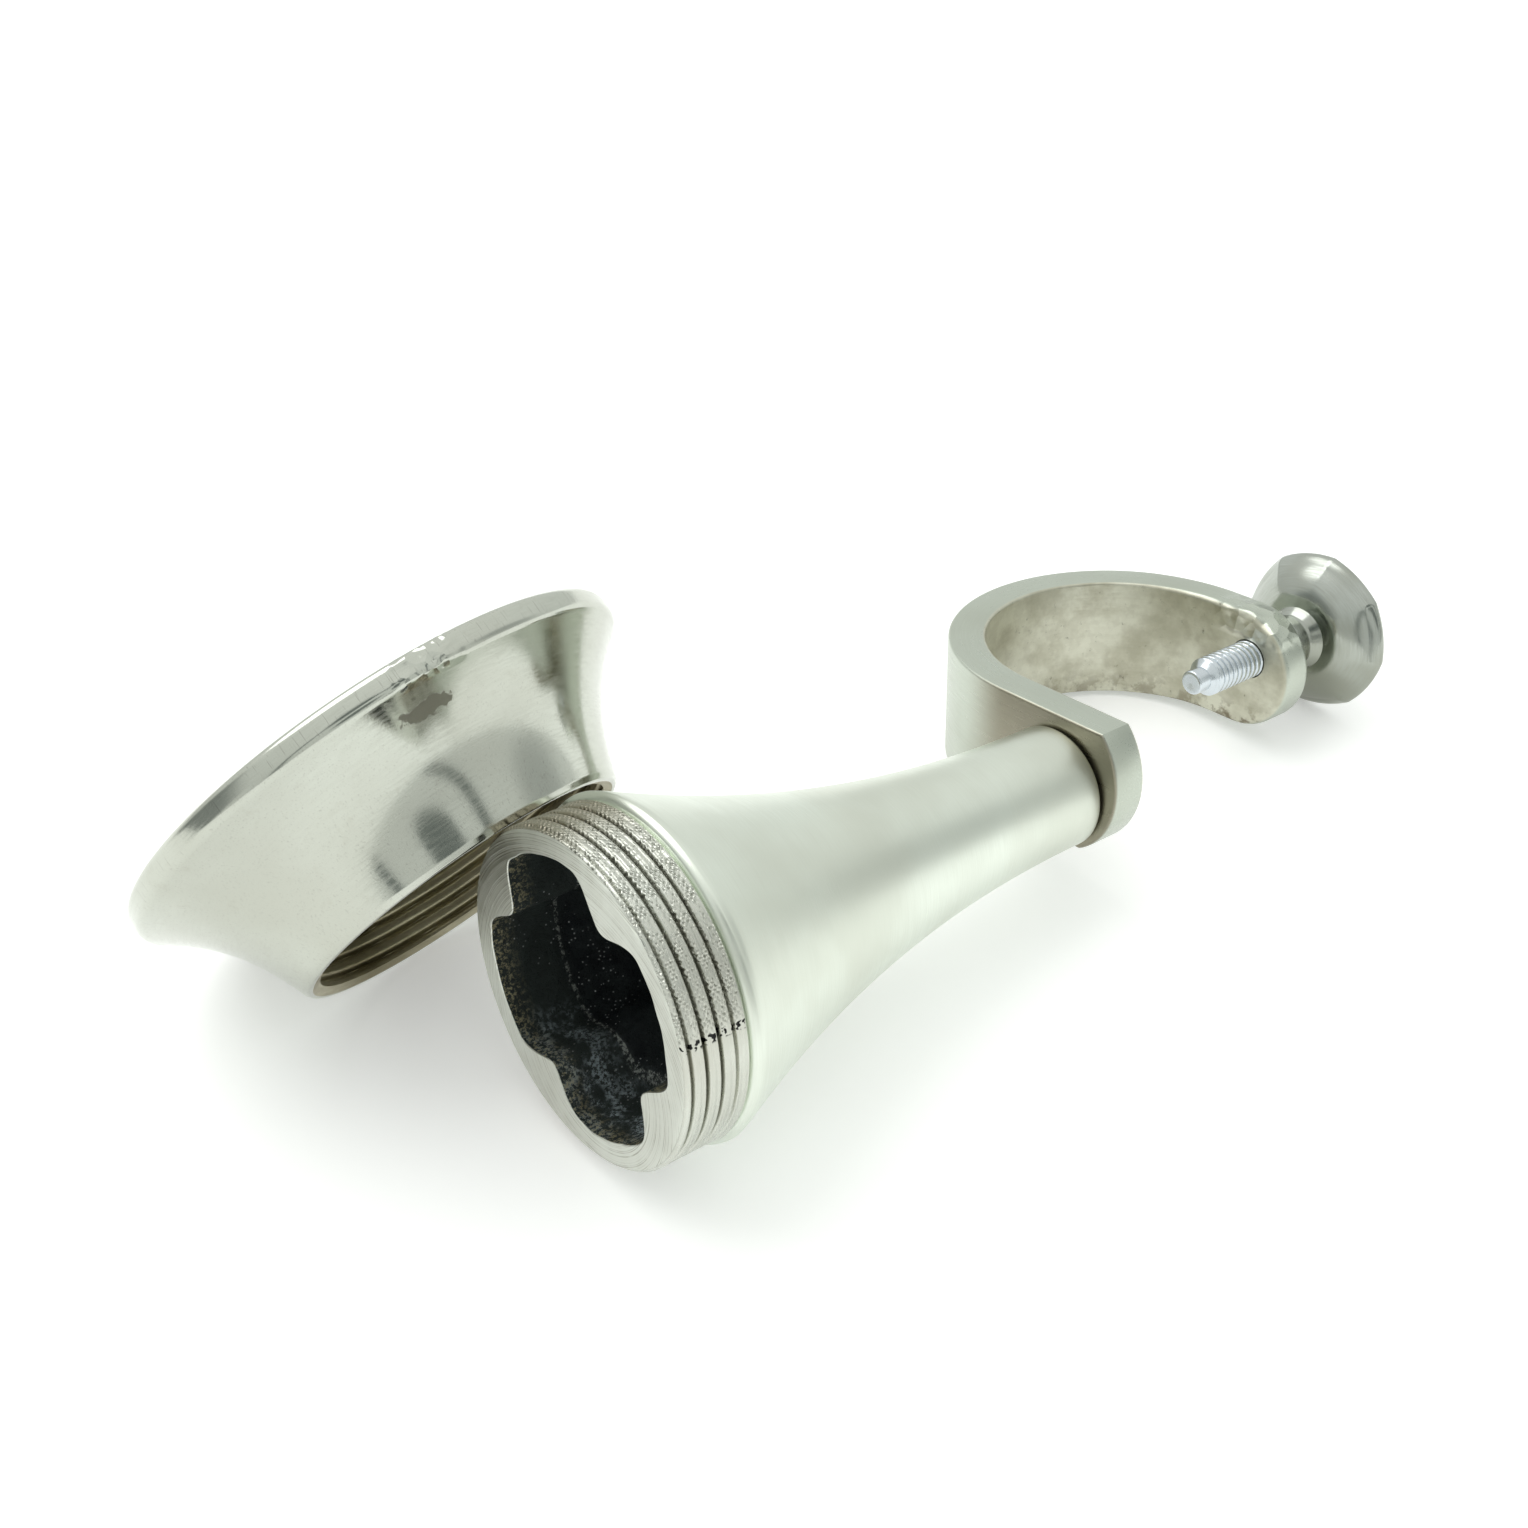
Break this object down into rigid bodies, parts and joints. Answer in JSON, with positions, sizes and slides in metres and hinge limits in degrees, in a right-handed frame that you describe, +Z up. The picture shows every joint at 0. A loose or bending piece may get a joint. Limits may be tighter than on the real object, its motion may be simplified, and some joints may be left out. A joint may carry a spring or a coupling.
{
  "type": "curtain rod bracket",
  "caption": "Nickel-plated curtain rod bracket shown apart: flared wall rose, trumpet stem with threaded foot, strap hook for the rod and a clamping thumb screw.",
  "frame": {"origin": "bottom centre of the whole set as it lies on a table", "axes": "+Z up from the table, +X along the stem from its threaded foot towards the hook, +Y towards the rose that lies beside the thread"},
  "size_m": [0.1208, 0.061, 0.0406],
  "materials": {
    "satin_nickel": "satin nickel plate on a casting, brushed along its length, black as-cast hollow",
    "polished_nickel": "polished nickel plate on a casting, with fine handling scratches",
    "strap_nickel": "satin nickel plate on bent steel strap, with small brown pits inside the ring",
    "screw_steel": "plain steel, lightly oiled",
    "zinc_plate": "bright blue-white zinc plate, turned"
  },
  "bodies": {
    "stem": {"stem": "satin_nickel", "foot_screw": "screw_steel"},
    "hook": {"rod_hook": "strap_nickel"},
    "thumb_screw": {"thumb_screw_stud": "zinc_plate"},
    "thumb_knob": {"thumb_screw_knob": "zinc_plate"},
    "rose": {"wall_rose": "polished_nickel"}
  },
  "joints": [
    {"name": "hook_swivel", "type": "hinge", "parent": "stem", "child": "hook", "pos_m": [0.01633, -0.01523, 0.01073], "axis": [0.9955, 0, -0.0952], "continuous": true},
    {"name": "screw_travel", "type": "slide", "parent": "hook", "child": "thumb_screw", "axis": [0.9955, 0, -0.0952], "range_m": [0, 0.011]},
    {"name": "screw_turn", "type": "hinge", "parent": "thumb_screw", "child": "thumb_knob", "pos_m": [0.05122, -0.01182, 0.00902], "axis": [0.9955, 0, -0.0952], "range_deg": [0, 5658]},
    {"name": "rose_lift", "type": "slide", "parent": "stem", "child": "rose", "axis": [0, 0, 1], "range_m": [0, 0.05]}
  ],
  "couplings": [
    {"joint": "screw_turn", "follows": "screw_travel", "rad_per_m": 8976}
  ]
}
